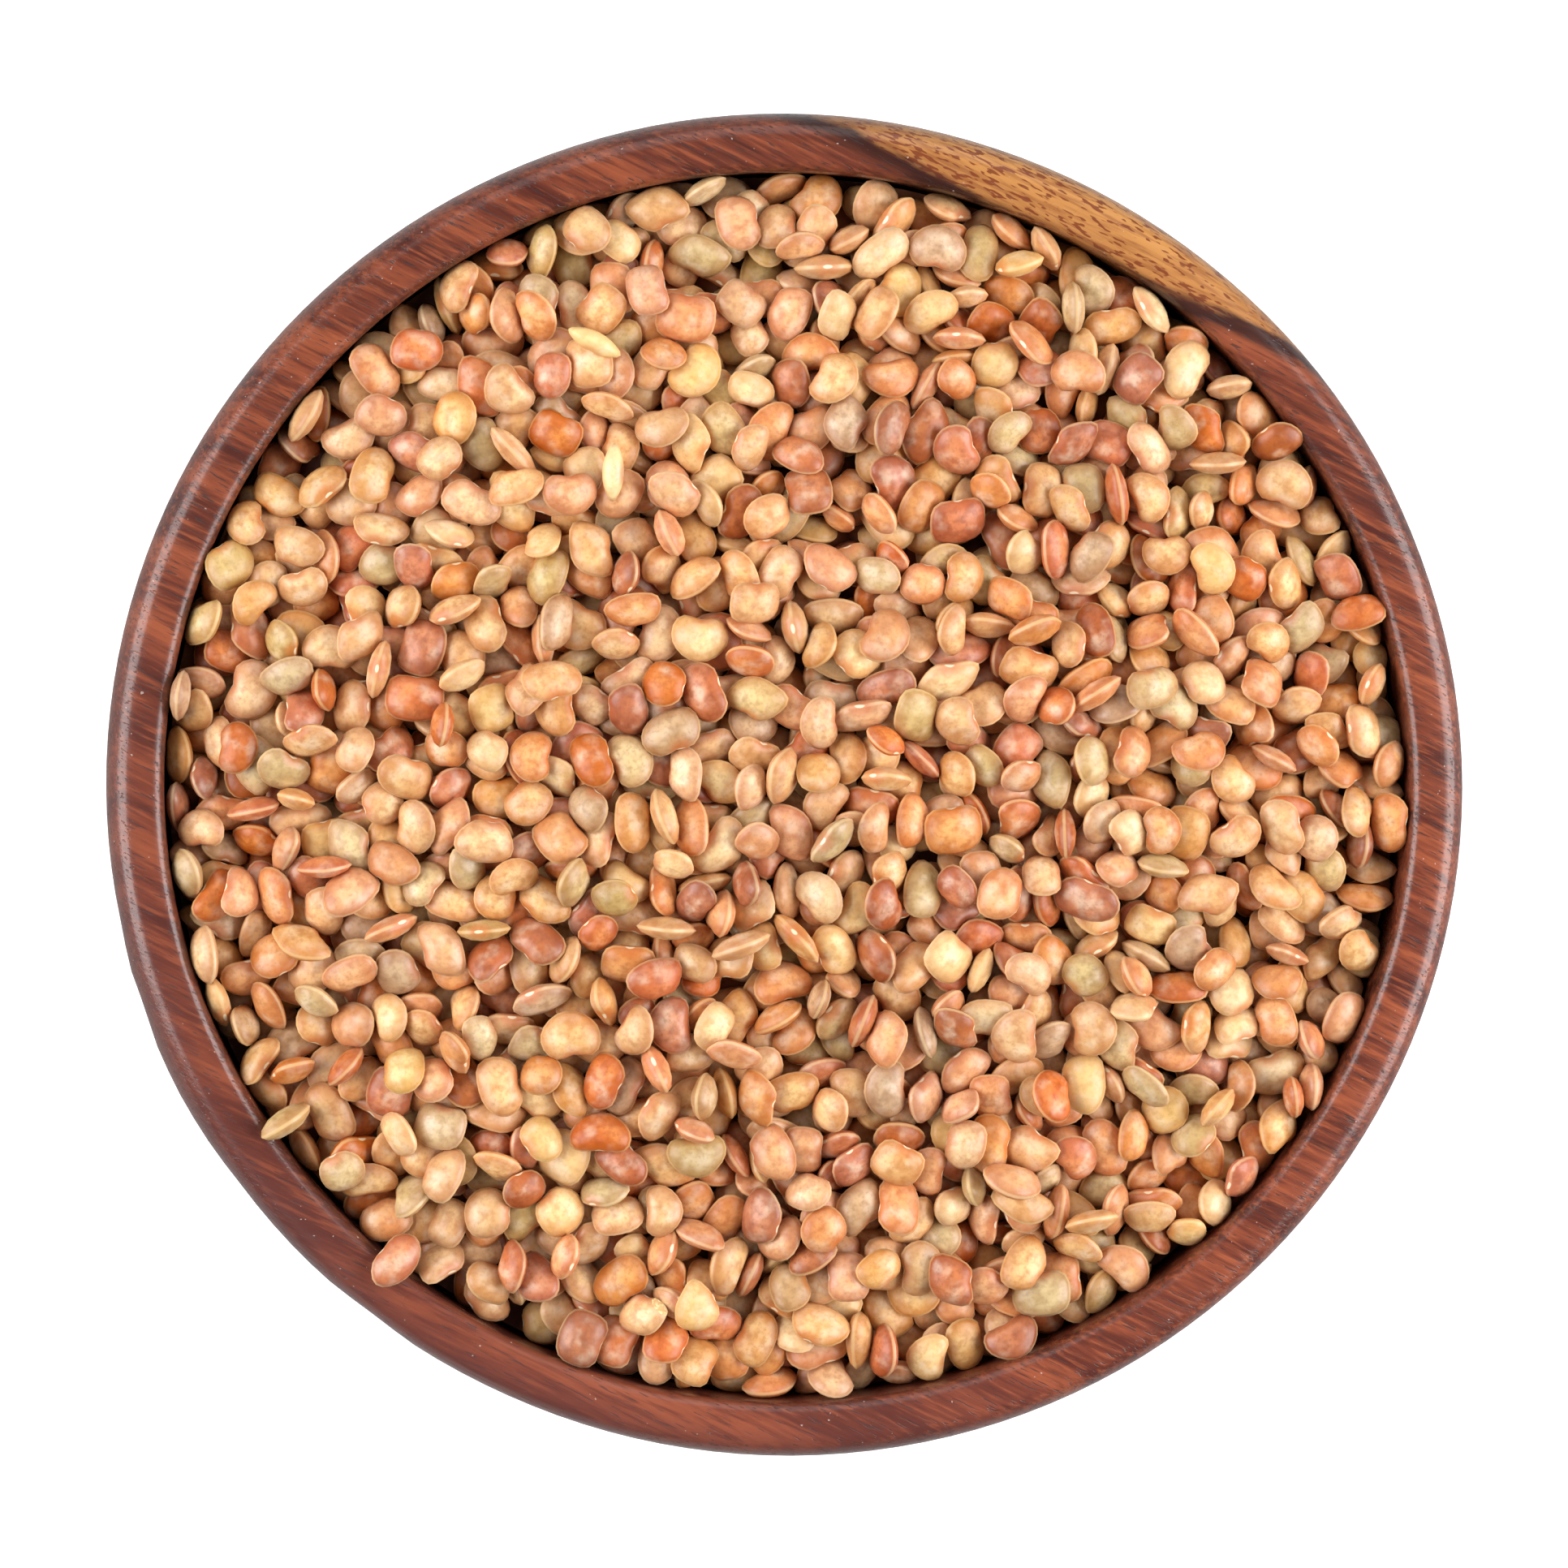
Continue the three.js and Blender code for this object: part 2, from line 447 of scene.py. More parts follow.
@dataclass
class Sheet:
    """A node tree, with short ways to add and link its nodes."""

    tree: bpy.types.NodeTree

    def feed(self, socket: Socket, value: object) -> None:
        """Link a socket to another, or set its number, vector or colour.

        Args:
            socket: The input.
            value: A socket or a value.
        """
        if isinstance(value, bpy.types.NodeSocket):
            self.tree.links.new(value, socket)
        else:
            socket.default_value = value

    def node(
        self, kind: str, inputs: dict[str | int, object] | None = None, **settings: object
    ) -> bpy.types.Node:
        """Add a node.

        Args:
            kind: The node's type.
            inputs: Values or sockets for its inputs.
            **settings: Values for its properties.

        Returns:
            The node.
        """
        made = self.tree.nodes.new(kind)
        for name, value in settings.items():
            setattr(made, name, value)
        for name, value in (inputs or {}).items():
            self.feed(made.inputs[name], value)
        return made

    def math(self, operation: str, *values: object, clamp: bool = False) -> Socket:
        """Add a Math node.

        Args:
            operation: What it does.
            *values: Its numbers or sockets.
            clamp: Whether its result stays from 0 to 1.

        Returns:
            Its result.
        """
        inputs = dict(enumerate(values))
        return self.node("ShaderNodeMath", inputs, operation=operation, use_clamp=clamp).outputs[0]

    def vector(self, operation: str, *values: object) -> Socket:
        """Add a Vector Math node.

        Args:
            operation: What it does.
            *values: Its vectors or sockets.

        Returns:
            Its result, which is a number for LENGTH and DOT_PRODUCT.
        """
        made = self.node("ShaderNodeVectorMath", dict(enumerate(values)), operation=operation)
        return made.outputs[1 if operation in ("LENGTH", "DOT_PRODUCT") else 0]

    def noise(self, where: object, scale: float, detail: float = 2.0, twist: float = 0.0) -> Socket:
        """Add a noise texture.

        Args:
            where: Where it is read.
            scale: How fine it is.
            detail: Its octaves.
            twist: Its distortion.

        Returns:
            Its value, from 0 to 1 about a mean of a half.
        """
        inputs = {"Vector": where, "Scale": scale, "Detail": detail, "Distortion": twist}
        return self.node("ShaderNodeTexNoise", inputs).outputs["Fac"]

    def step(self, value: object, low: float, high: float, start: float = 0.0, end: float = 1.0) -> Socket:
        """Add a smooth step.

        Args:
            value: The number to map.
            low: Where the step starts.
            high: Where it ends.
            start: The result at low.
            end: The result at high.

        Returns:
            The mapped number.
        """
        if low > high:
            low, high, start, end = high, low, end, start
        inputs = {"Value": value, "From Min": low, "From Max": high, "To Min": start, "To Max": end}
        made = self.node("ShaderNodeMapRange", inputs, interpolation_type="SMOOTHSTEP", clamp=True)
        return made.outputs["Result"]

    def mix(self, share: object, first: object, second: object) -> Socket:
        """Mix two colours.

        Args:
            share: How much of the second shows.
            first: The first colour.
            second: The second colour.

        Returns:
            The mixed colour.
        """
        made = self.node("ShaderNodeMix", data_type="RGBA", blend_type="MIX", clamp_factor=True)
        for index, value in ((0, share), (6, first), (7, second)):
            self.feed(made.inputs[index], value)
        return made.outputs[2]

    def attribute(self, name: str, output: str = "Fac") -> Socket:
        """Read an attribute of the piece.

        Args:
            name: The attribute's name.
            output: Which of the node's outputs to read.

        Returns:
            Its value.
        """
        made = self.node("ShaderNodeAttribute", attribute_name=name, attribute_type="GEOMETRY")
        return made.outputs[output]


class Effect:
    """A shader node group: an effect that several materials use."""

    def __init__(self, name: str, inputs: dict[str, str], outputs: dict[str, str]) -> None:
        """Make a group with its sockets.

        Args:
            name: The group's name.
            inputs: Names and kinds of its inputs.
            outputs: Names and kinds of its outputs.
        """
        self.group = bpy.data.node_groups.new(name, "ShaderNodeTree")
        for sockets, side in ((inputs, "INPUT"), (outputs, "OUTPUT")):
            for label, kind in sockets.items():
                self.group.interface.new_socket(label, in_out=side, socket_type=f"NodeSocket{kind}")
        self.sheet = Sheet(self.group)
        self.given = self.sheet.node("NodeGroupInput").outputs
        self.result = self.sheet.node("NodeGroupOutput").inputs

    def use(self, sheet: Sheet, inputs: dict[str | int, object]) -> bpy.types.bpy_prop_collection:
        """Place the group in a material.

        Args:
            sheet: The material's nodes.
            inputs: Values or sockets for the group's inputs.

        Returns:
            The placed group's outputs.
        """
        return sheet.node("ShaderNodeGroup", inputs, node_tree=self.group).outputs


def new_material(name: str) -> tuple[bpy.types.Material, Sheet, bpy.types.Node]:
    """Make a material with one Principled shader.

    Args:
        name: Its name.

    Returns:
        The material, its nodes, and the shader.
    """
    material = bpy.data.materials.new(name)
    material.use_nodes = True
    material.node_tree.nodes.clear()
    sheet = Sheet(material.node_tree)
    shader = sheet.node("ShaderNodeBsdfPrincipled")
    sheet.node("ShaderNodeOutputMaterial", {"Surface": shader.outputs[0]})
    return material, sheet, shader


# ---- The turned bowl ----


@dataclass(frozen=True)
class WoodFinish:
    """Oiled heartwood with a patch of sapwood: colours, and the lie of the grain in the bowl."""

    dark: Colour = srgb(76, 32, 24)
    middle: Colour = srgb(118, 57, 38)
    light: Colour = srgb(156, 82, 52)
    plum: Colour = srgb(92, 50, 46)
    vein: Colour = srgb(40, 16, 14)
    sap: Colour = srgb(204, 144, 80)
    sap_dash: Colour = srgb(118, 54, 28)
    border: Colour = srgb(34, 14, 14)
    dust: Colour = srgb(226, 216, 208)
    along: Direction = (0.891, -0.454, 0.0)
    across: Direction = (0.454, 0.891, 0.0)
    oval_long: Direction = (0.9636, -0.2672, 0.0)
    oval_short: Direction = (0.2713, 0.9783, 0.0)
    plum_way: Direction = (-0.6, -0.8, 0.0)
    # Painted light: the way towards which the bowl is painted lighter, and how much lighter for each
    # millimetre.
    painted_light_way: Direction = (0.4, -0.92, 0.0)
    painted_light_slope: float = 0.0018
    heart_across: float = -70.0
    heart_height: float = 70.0
    sap_radius: float = 129.6
    coat: float = 0.1
    coat_roughness: float = 0.2

    def make(self) -> bpy.types.Material:
        """Build the wood's material from its place in the log.

        Returns:
            The material.
        """
        material, sheet, shader = new_material("bowl_wood")
        paint = WoodPaint(self, sheet)
        colour, pores = paint.heartwood()
        colour = paint.shade(paint.sapwood(colour))
        dust = sheet.step(sheet.noise(paint.place, 2.3, 1.0), 0.78, 0.8)
        colour = sheet.mix(sheet.math("MULTIPLY", dust, 0.35), colour, self.dust)
        worn = sheet.step(sheet.noise(paint.place, 0.06, 3.0), 0.3, 0.7, 0.25, 0.33)
        sheet.feed(shader.inputs["Base Color"], colour)
        sheet.feed(shader.inputs["Roughness"], sheet.math("MULTIPLY_ADD", pores, 0.2, worn))
        sheet.feed(shader.inputs["Normal"], paint.relief(pores))
        shader.inputs["Coat Weight"].default_value = self.coat
        shader.inputs["Coat Roughness"].default_value = self.coat_roughness
        return material


class WoodPaint:
    """The nodes that paint the wood, from each point's place in the bowl and in the log."""

    def __init__(self, finish: WoodFinish, sheet: Sheet) -> None:
        """Find the place in the bowl, the place along, across and over the grain, and the ring.

        Args:
            finish: The wood's colours and lie.
            sheet: The material's nodes.
        """
        self.finish = finish
        self.sheet = sheet
        self.place = sheet.vector("SCALE", sheet.node("ShaderNodeTexCoord").outputs["Object"])
        self.place.node.inputs["Scale"].default_value = 1 / MM
        self.along = sheet.vector("DOT_PRODUCT", self.place, finish.along)
        self.across = sheet.vector("DOT_PRODUCT", self.place, finish.across)
        self.up = sheet.node("ShaderNodeSeparateXYZ", {0: self.place}).outputs[2]
        self.log = self._join(self.along, self.across, self.up)
        self.rings = self._rings()

    def _join(self, *parts: object) -> Socket:
        """Join up to three numbers into one vector."""
        return self.sheet.node("ShaderNodeCombineXYZ", dict(enumerate(parts))).outputs[0]

    def _fibres(self, lengthways: float, sideways: float, detail: float, twist: float = 0.0) -> Socket:
        """Add a noise that is drawn out along the grain.

        Args:
            lengthways: How fine it is along the grain.
            sideways: How fine it is across the grain.
            detail: Its octaves.
            twist: Its distortion.

        Returns:
            Its value, from 0 to 1 about a mean of a half.
        """
        drawn_out = self.sheet.vector("MULTIPLY", self.log, (lengthways, sideways, sideways))
        return self.sheet.noise(drawn_out, 1.0, detail, twist)

    def _rings(self) -> Socket:
        """Give the distance from the heart of the log in millimetres, a little wavy.

        Returns:
            The distance.
        """
        sheet = self.sheet
        side = sheet.math("SUBTRACT", self.across, self.finish.heart_across)
        rise = sheet.math("SUBTRACT", self.up, self.finish.heart_height)
        reach = sheet.vector("LENGTH", self._join(side, rise))
        reach = sheet.math("MULTIPLY_ADD", self._fibres(0.025, 0.06, 2.0), 5.0, reach)
        reach = sheet.math("MULTIPLY_ADD", self._fibres(0.16, 0.9, 3.0), 1.6, reach)
        return sheet.math("SUBTRACT", reach, 3.3)

    def heartwood(self) -> tuple[Socket, Socket]:
        """Colour the heartwood with bands, fibres, veins and pores.

        Returns:
            The colour, and a mask of the pores.
        """
        sheet, finish = self.sheet, self.finish
        lengthways = sheet.math("MULTIPLY", self.along, 0.02)
        band = sheet.noise(self._join(lengthways, sheet.math("MULTIPLY", self.rings, 0.3)), 1.0, 3.0, 0.3)
        colour = sheet.mix(sheet.step(band, 0.32, 0.55), finish.dark, finish.middle)
        colour = sheet.mix(sheet.step(band, 0.5, 0.75), colour, finish.light)
        fibre = self._fibres(0.2, 2.2, 4.0, 0.2)
        colour = sheet.mix(sheet.step(fibre, 0.48, 0.7, 0.0, 0.7), colour, finish.light)
        colour = sheet.mix(sheet.step(fibre, 0.5, 0.3, 0.0, 0.6), colour, finish.dark)
        vein = sheet.step(self._fibres(0.08, 1.0, 2.0, 0.5), 0.6, 0.76, 0.0, 0.5)
        colour = sheet.mix(vein, colour, finish.vein)
        pores = sheet.step(self._fibres(0.4, 4.6, 1.0), 0.62, 0.69)
        return sheet.mix(sheet.math("MULTIPLY", pores, 0.7), colour, finish.vein), pores

    def sapwood(self, heart: Socket) -> Socket:
        """Lay the sapwood and its dark border over the heartwood.

        Args:
            heart: The heartwood's colour.

        Returns:
            The colour.
        """
        sheet, finish, inner = self.sheet, self.finish, self.finish.sap_radius
        fibre = sheet.step(self._fibres(0.2, 2.4, 4.0), 0.4, 0.66, 0.0, 0.5)
        sap = sheet.mix(fibre, finish.sap, finish.sap_dash)
        sap = sheet.mix(sheet.step(self.rings, inner + 5.0, inner, 0.0, 0.4), sap, finish.sap_dash)
        dashes = sheet.math("MULTIPLY_ADD", self._fibres(0.08, 0.2, 1.0), 0.3, self._fibres(0.75, 3.2, 1.0))
        sap = sheet.mix(sheet.step(dashes, 0.7, 0.75, 0.0, 0.9), sap, finish.sap_dash)
        border = sheet.step(self.rings, inner - 2.4, inner - 0.8)
        colour = sheet.mix(sheet.math("MULTIPLY", border, 0.85), heart, finish.border)
        return sheet.mix(sheet.step(self.rings, inner - 0.3, inner + 0.5), colour, sap)

    def shade(self, colour: Socket) -> Socket:
        """Turn one side plum, paint light on one side and shade on the other, and paint shade over the
        rim's inner and outer edges.

        Args:
            colour: The bare wood's colour.

        Returns:
            The colour.
        """
        sheet, finish = self.sheet, self.finish
        ways = (finish.oval_long, finish.oval_short)
        sides = [sheet.vector("DOT_PRODUCT", self.place, way) for way in ways]
        radius = sheet.vector("LENGTH", self._join(*sides))
        plum = sheet.step(sheet.vector("DOT_PRODUCT", self.place, finish.plum_way), 10.0, 62.0, 0.0, 0.9)
        plum = sheet.math("MULTIPLY", plum, sheet.step(radius, 60.0, 63.0, 0.4, 0.8))
        colour = sheet.mix(plum, colour, finish.plum)
        # Painted light: one side of the bowl is painted lighter and the other darker, as the light falls
        # across it.
        pale = sheet.vector("DOT_PRODUCT", self.place, finish.painted_light_way)
        painted_light_tone = sheet.math("MULTIPLY_ADD", pale, finish.painted_light_slope, 1.0)
        # Painted shade: darker over the inner edge and down the inside wall, and over the outermost edge of
        # the rim.
        painted_inner_shade = sheet.step(radius, 58.2, 59.6, 0.62, 1.0)
        painted_outer_shade = sheet.step(radius, 64.0, 62.4, 0.68, 1.0)
        shade = sheet.math("MULTIPLY", painted_light_tone, sheet.math("MULTIPLY", painted_inner_shade, painted_outer_shade))
        return sheet.vector("MULTIPLY", colour, self._join(shade, shade, shade))

    def relief(self, pores: Socket) -> Socket:
        """Add the pores, the fibres and the lathe's faint lines as relief.

        Args:
            pores: A mask of the pores.

        Returns:
            The relief's normal.
        """
        sheet = self.sheet
        flat = sheet.vector("LENGTH", sheet.vector("MULTIPLY", self.place, (1.0, 1.0, 0.0)))
        lathe = sheet.noise(self._join(flat, self.up), 1.6, 2.0)
        fibre = sheet.math("MULTIPLY", self._fibres(0.15, 3.0, 2.0), 0.7)
        height = sheet.math("SUBTRACT", sheet.math("MULTIPLY_ADD", lathe, 0.5, fibre), pores)
        bump = sheet.node("ShaderNodeBump", {"Strength": 0.35, "Distance": 0.00012, "Height": height})
        return bump.outputs[0]


@dataclass
class TurnedBowl:
    """The bowl: one piece of wood, turned outside and in, with a stepped foot."""

    sizes: BowlSizes
    finish: WoodFinish

    def build(self) -> bpy.types.Object:
        """Turn the bowl from its foot up the outside, over the rim and down the inside.

        Returns:
            The bowl.
        """
        sizes = self.sizes
        profile = [*sizes.outside(), *reversed(sizes.hollow(0.0, sizes.hollow_steps)[:-1])]
        metres = [(radius * MM, height * MM) for radius, height in profile]
        bowl = Workbench.ring("turned_bowl", sizes.segments, *metres[0])
        Workbench.loft(metres)
        Workbench.close()
        self._close_foot(bowl)
        clouds = Workbench.clouds("uneven_wood", sizes.cloud_size * MM)
        strength = sizes.unevenness * MM
        Workbench.apply(bowl, "DISPLACE", texture=clouds, texture_coords="LOCAL", strength=strength)
        bowl.data.transform(sizes.oval())
        self._level_foot(bowl)
        for mark in sizes.hand_marks:
            Workbench.pull(bowl, mark.place(sizes.belly_height), mark.move(), mark.reach * MM)
        Workbench.hold(bowl)
        bpy.ops.object.shade_smooth_by_angle(angle=math.radians(sizes.sharp_angle))
        return bowl

    def _close_foot(self, bowl: bpy.types.Object) -> None:
        """Close the foot's underside with a face, and two turned rings in it.

        Args:
            bowl: The bowl, open underneath.
        """
        Workbench.pick_opening(bowl)
        bpy.ops.mesh.edge_face_add()
        for inset in self.sizes.foot_insets:
            bpy.ops.mesh.inset(thickness=inset * MM)
        Workbench.face_outwards()

    def _level_foot(self, bowl: bpy.types.Object) -> None:
        """Sand the foot's underside flat on the ground again.

        Args:
            bowl: The bowl.
        """
        limit = self.sizes.foot_wear * MM
        Workbench.pick(bowl, [vertex.index for vertex in bowl.data.vertices if vertex.co.z < limit])
        bpy.ops.transform.resize(value=(1.0, 1.0, 0.0), center_override=(0.0, 0.0, 0.0))
        bpy.ops.object.mode_set(mode="OBJECT")

    def dress(self, bowl: bpy.types.Object) -> None:
        """Give the bowl its wood, and stand it in for the CAD bowl.

        Args:
            bowl: The bowl.
        """
        bowl.data.materials.append(self.finish.make())
        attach(bowl, "root")
        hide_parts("bowl")


# ---- The seeds ----


class SeedKind(Enum):
    """The colours of seed in the heap."""

    TAN = "tan"
    PEACH = "peach"
    CREAM = "cream"
    ORANGE = "orange"
    RUSSET = "russet"
    OLIVE = "olive"
    GREY = "grey"
    PALE = "pale"


@dataclass(frozen=True)
class Pull:
    """A push or pull on a seed's outline.

    Attributes:
        at: Where on the outline, in shares of the half length and half width.
        by: How far it moves, in millimetres.
        reach: How far round it takes its neighbours along, in millimetres.
    """

    at: Place
    by: Place
    reach: float


@dataclass(frozen=True)
class SeedForm:
    """One form of seed: a plump lens with its outline pulled about, in millimetres.

    Attributes:
        name: Its name.
        size: Its length, width and thickness.
        pulls: The dent at its hilum, and then what else shapes its outline.
        rings: Where its rings of corners stand, in shares from its middle to its outline.
        sides: How many corners each ring has.
        bluntness: The power that its sides are rounded by.
        hilum_depth: How far its hilum moves in with the dent, in centimetres for each millimetre.
    """

    name: str
    size: tuple[float, float, float]
    pulls: tuple[Pull, ...]
    rings: tuple[float, ...] = (1.0, 0.86, 0.52, 0.05)
    sides: int = 20
    bluntness: float = 0.62
    hilum_depth: float = 0.07

    def build(self) -> bpy.types.Object:
        """Model the form in centimetres, with the marks that its coat is painted by.

        Returns:
            The seed.
        """
        lens = Workbench.ring(f"form_{self.name}", self.sides, 1.0, 0.0)
        Workbench.loft([(share, (1 - share**2) ** self.bluntness) for share in self.rings])
        Workbench.close()
        Workbench.apply(lens, "MIRROR", use_axis=(False, False, True), merge_threshold=0.001)
        rim = [math.hypot(vertex.co.x, vertex.co.y) for vertex in lens.data.vertices]
        lens.data.attributes.new("seed_rim", "FLOAT", "POINT").data.foreach_set("value", rim)
        half = Vector(self.size) * (0.5 * MM_TO_CM)
        bpy.ops.object.mode_set(mode="EDIT")
        bpy.ops.mesh.select_all(action="SELECT")
        bpy.ops.transform.resize(value=half, center_override=(0.0, 0.0, 0.0))
        Workbench.face_outwards()
        for pull in self.pulls:
            place = Vector((pull.at[0] * half.x, pull.at[1] * half.y, 0.0))
            Workbench.pull(lens, place, Vector((*pull.by, 0.0)) * MM_TO_CM, pull.reach * MM_TO_CM)
        self._soften(lens, half)
        self._mark_hilum(lens, half)
        Workbench.hold(lens)
        bpy.ops.object.shade_smooth()
        return lens

    def _mark_hilum(self, lens: bpy.types.Object, half: Vector) -> None:
        """Give each corner its place from the hilum, in millimetres.

        Args:
            lens: The seed.
            half: Half the seed's length, width and thickness.
        """
        dent = self.pulls[0]
        hilum = Vector((dent.at[0] * half.x, dent.at[1] * half.y + dent.by[1] * self.hilum_depth, 0))
        marks = [part for vertex in lens.data.vertices for part in (vertex.co - hilum) * CM_TO_MM]
        lens.data.attributes.new("seed_place", "FLOAT_VECTOR", "POINT").data.foreach_set("vector", marks)

    @staticmethod
    def _soften(lens: bpy.types.Object, half: Vector) -> None:
        """Round off the pulled outline, and bring the seed back to its size.

        The corners are set to the nearest micron, so that the seeds settle the same way each time.

        Args:
            lens: The seed.
            half: Half the seed's length, width and thickness.
        """
        bpy.ops.object.mode_set(mode="EDIT")
        bpy.ops.mesh.select_all(action="SELECT")
        bpy.ops.mesh.vertices_smooth(factor=0.5, repeat=1, xaxis=True, yaxis=True, zaxis=False)
        bpy.ops.object.mode_set(mode="OBJECT")
        spans = [[vertex.co[axis] for vertex in lens.data.vertices] for axis in range(2)]
        share = [2 * half[axis] / (max(spans[axis]) - min(spans[axis])) for axis in range(2)]
        bpy.ops.object.mode_set(mode="EDIT")
        bpy.ops.transform.resize(value=(share[0], share[1], 1.0), center_override=(0.0, 0.0, 0.0))
        bpy.ops.object.mode_set(mode="OBJECT")
        for vertex in lens.data.vertices:
            vertex.co = [round(part, 4) for part in vertex.co]


def wide_notch(depth: float) -> Pull:
    """Return the dent at a seed's hilum, in the middle of its long side."""
    return Pull((0, -1), (0, depth), 1.5)


SEED_FORMS = (
    SeedForm(
        "kidney",
        (5.35, 4.05, 2.2),
        (wide_notch(0.75), Pull((0.8, -0.6), (0.1, -0.2), 1.5), Pull((0, 1), (0, 0.2), 2.6)),
    ),
    SeedForm(
        "block",
        (5.0, 4.1, 2.25),
        (
            wide_notch(0.45),
            Pull((0.78, 0.62), (0.34, 0.3), 2.0),
            Pull((-0.78, 0.62), (-0.22, 0.2), 2.0),
            Pull((0.8, -0.6), (0.3, -0.2), 1.8),
            Pull((-0.8, -0.6), (-0.26, -0.24), 1.8),
        ),
    ),
    SeedForm(
        "egg",
        (5.3, 3.95, 2.2),
        (
            Pull((-0.3, -1), (0, 0.45), 1.4),
            Pull((1, 0), (0.6, 0.1), 2.6),
            Pull((-0.8, 0.6), (-0.35, 0.5), 2.3),
        ),
    ),
    SeedForm(
        "half_moon",
        (5.4, 3.85, 2.15),
        (Pull((0, -1), (0, 0.9), 2.8), Pull((0, 1), (0, 0.35), 2.8)),
    ),
    SeedForm(
        "round",
        (4.6, 4.15, 2.25),
        (Pull((0, -1), (0, 0.4), 1.1), Pull((0.7, 0.7), (0.25, 0.15), 1.8)),
    ),
    SeedForm(
        "slim",
        (5.75, 3.7, 2.1),
        (Pull((0.15, -1), (0, 0.55), 1.6), Pull((0.7, 0.7), (0.2, 0.4), 2.3)),
    ),
    SeedForm(
        "slanted",
        (5.3, 4.05, 2.2),
        (
            Pull((0.1, -1), (0, 0.55), 1.5),
            Pull((0.75, 0.65), (0.8, 0.5), 2.2),
            Pull((-0.75, -0.6), (-0.6, -0.45), 1.9),
        ),
    ),
    SeedForm(
        "small",
        (4.7, 3.8, 2.25),
        (Pull((0, -1), (0, 0.4), 1.2), Pull((-0.7, 0.7), (-0.2, 0.4), 1.9)),
    ),
)
ODD_FORMS = (
    SeedForm(
        "grain",
        (5.5, 2.0, 1.8),
        (Pull((0, -1), (0, 0.1), 1.0), Pull((1, 0), (0.6, 0), 1.2), Pull((-1, 0), (-0.6, 0), 1.2)),
    ),
    SeedForm(
        "drop",
        (5.2, 4.2, 2.0),
        (
            Pull((0.4, -1), (0, 0.3), 1.2),
            Pull((1, 0), (1.4, 0.2), 1.8),
            Pull((-0.6, 0.8), (-0.2, 0.3), 2.0),
        ),
    ),
    SeedForm("long", (5.9, 3.6, 2.2), (Pull((0.1, -1), (0, 0.4), 1.6), Pull((1, 0), (0.3, 0), 2.0))),
)


@dataclass(frozen=True)
class Guest:
    """A seed that stands out in the heap: dropped last of all, or laid down on the settled ones.

    Attributes:
        form: The name of its form.
        kind: Its colour.
        at: Where it is dropped or laid, in millimetres from the bowl's axis.
        turn: The direction of its length, in degrees.
        broken: Where along its half length it is broken off, or 1 for a whole seed.
        lean: How far its tip leans down where it is laid, in degrees, or None where it is dropped.
        height: The height in millimetres that it is laid at, or 0 for on top of the others.
    """

    form: str
    kind: SeedKind
    at: Place
    turn: float
    broken: float = 1.0
    lean: float | None = None
    height: float = 0.0

    def pose(self) -> Matrix:
        """Give the place that it is laid at, in centimetres.

        Returns:
            The place, at its height.
        """
        turn = Matrix.Rotation(math.radians(self.turn), 4, "Z")
        lean = Matrix.Rotation(math.radians(self.lean), 4, "Y")
        return Matrix.Translation(Vector((*self.at, self.height)) * MM_TO_CM) @ (turn @ lean)


GUESTS = (
    Guest("grain", SeedKind.PALE, (-18.4, 42.3), -27, lean=6),
    Guest("grain", SeedKind.PALE, (-16.8, 30.1), 88, lean=-5),
    Guest("drop", SeedKind.CREAM, (-9.2, -49.2), 95, lean=-8),
    Guest("kidney", SeedKind.OLIVE, (-16.6, 24.6), 60, broken=0.45),
    Guest("block", SeedKind.RUSSET, (-1.6, 53.4), 110, broken=0.5),
    Guest("egg", SeedKind.ORANGE, (-2.7, 49.8), 30, broken=0.4),
    Guest("slanted", SeedKind.TAN, (-12.6, -50.0), 140, broken=0.6),
    Guest("long", SeedKind.ORANGE, (-37.3, -44.4), 230, lean=-10, height=48.8),
)


